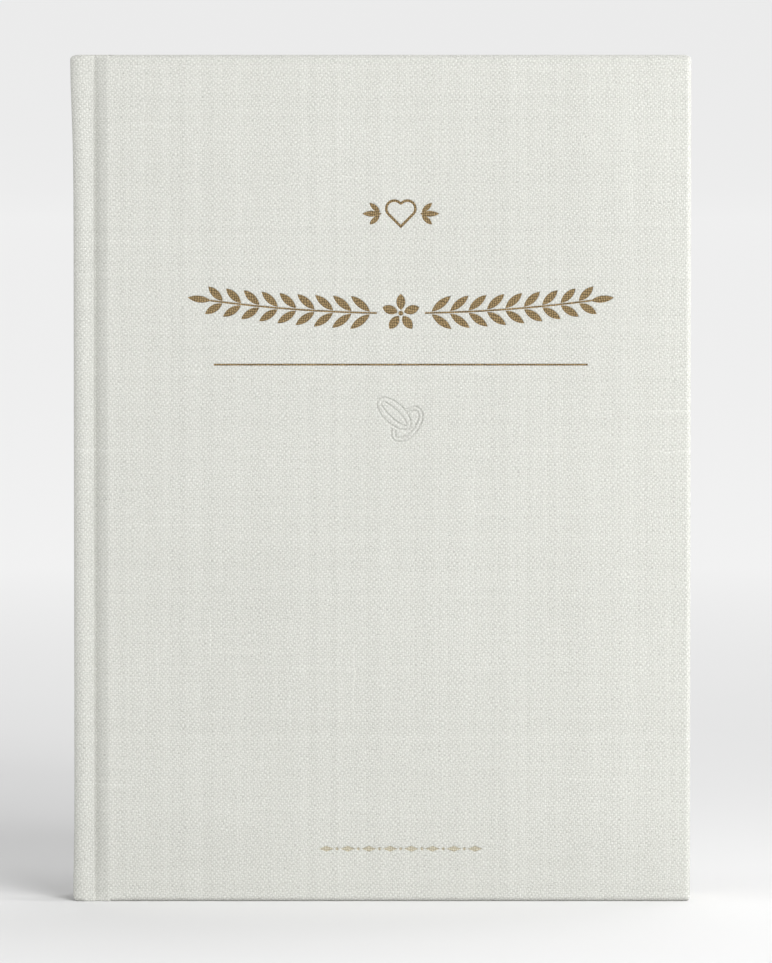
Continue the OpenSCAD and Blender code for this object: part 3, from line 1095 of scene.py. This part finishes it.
for side in (FRONT, BACK):
    case_cloth(side, CLOTH)
    pastedown(side, ENDPAPER)
    flyleaf(side, ENDPAPER)
for number in range(1, SECTIONS + 1):
    section_piece(number, PAGES)
sewn_folds(PAGES)
end_band("headband", BAND)
end_band("tailband", BAND)


# ---------------------------------------------------------------- studio

FLOOR_R = 7.5               # metres from the book to where the floor starts to rise
RISE_R = 1.0
WALL_TOP = 2.5
GLOW_FROM = 0.35            # where the floor starts to shine by itself, and where it is full
GLOW_TO = 1.6
GLOW = 0.79


def backdrop_look():
    """Plain and pale. Near the book it is lit by the lamps alone. Further out it shines
    softly by itself, like a studio wall with lamps of its own."""
    made = material("backdrop", backdrop_paint, 0.9, Emission_Strength=1.0)
    net = Net(made.node_tree)
    shader = made.node_tree.nodes["Principled BSDF"]
    glow = net.mix(glow_share(net), (0, 0, 0), (GLOW, GLOW, GLOW))
    net.tree.links.new(glow, shader.inputs["Emission Color"])
    return made


def glow_share(net):
    reach = net.add("ShaderNodeVectorMath", {0: net.place()}, operation="LENGTH")
    return net.ranged(reach.outputs["Value"], GLOW_FROM, GLOW_TO, 0.0, 1.0)


def backdrop_paint(net):
    """Pale, and darker where it shines by itself."""
    near = net.mix(net.noise(net.place(), 3.0), (0.71, 0.71, 0.71), (0.73, 0.73, 0.73))
    return net.mix(glow_share(net), near, (0.05, 0.05, 0.05)), None


def backdrop():
    """A round floor with a low wall all round it, in one curve, so that there is a pale
    ground behind the book from every side."""
    line = [(0.0, 0.0), (0.5, 0.0), (1.5, 0.0), (FLOOR_R, 0.0)]
    for k in range(1, 9):
        a = math.radians(90 * k / 8)
        line.append((FLOOR_R + RISE_R * math.sin(a), RISE_R * (1 - math.cos(a))))
    line.append((FLOOR_R + RISE_R, WALL_TOP))
    made = Surface()
    turns = [2 * math.pi * k / 96 for k in range(97)]
    rows = [[(r * math.cos(t), r * math.sin(t), z) for r, z in line] for t in turns]
    made.grid(rows, [[(r, t) for r, z in line] for t in turns], True)
    made.weld()
    made.piece("backdrop", backdrop_look())


def area_light(name, place, target, size, power):
    light = bpy.data.lights.new(name, "AREA")
    light.shape = "DISK"
    light.size = size
    light.energy = power
    obj = bpy.data.objects.new(name, light)
    obj.location = place
    obj.rotation_euler = (Vector(target) - Vector(place)).to_track_quat("-Z", "Y").to_euler()
    bpy.context.scene.collection.objects.link(obj)


def studio():
    backdrop()
    book = (0, 0, 0.12)
    area_light("key", (1.28, -3.84, 1.76), book, 1.28, 92.0)
    area_light("high", (1.65, -2.55, 2.55), book, 1.35, 50.0)
    area_light("left", (-1.25, -0.3, 0.45), book, 0.45, 4.2)
    area_light("rake", (0.62, -0.13, 0.3), book, 0.25, 2.3)
    area_light("back", (0.4, 1.3, 2.2), (0, 1.7, 0.1), 1.8, 24.0)
    sky = bpy.data.worlds.new("studio")
    sky.use_nodes = True
    background = sky.node_tree.nodes["Background"]
    background.inputs["Color"].default_value = (1, 1, 1, 1)
    background.inputs["Strength"].default_value = 0.27
    bpy.context.scene.world = sky
    bpy.context.scene.view_settings.view_transform = "Standard"


def camera():
    """Level with the book, a little above it, from far in front."""
    elevation = math.radians(3.0)
    distance = 3.0
    frame_height = 280.9 * MM                     # what the picture spans at the cover
    aim = Vector((1.1 * MM, cad_lo.y, book_h / 2 - 0.6 * MM))      # its middle
    back = Vector((0, -math.cos(elevation), math.sin(elevation)))
    data = bpy.data.cameras.new("camera")
    data.sensor_width = 36
    data.lens = data.sensor_width * distance / frame_height
    obj = bpy.data.objects.new("camera", data)
    obj.location = aim + back * distance
    obj.rotation_euler = (-back).to_track_quat("-Z", "Y").to_euler()
    data.clip_end = 50
    bpy.context.scene.collection.objects.link(obj)
    bpy.context.scene.camera = obj


studio()
camera()
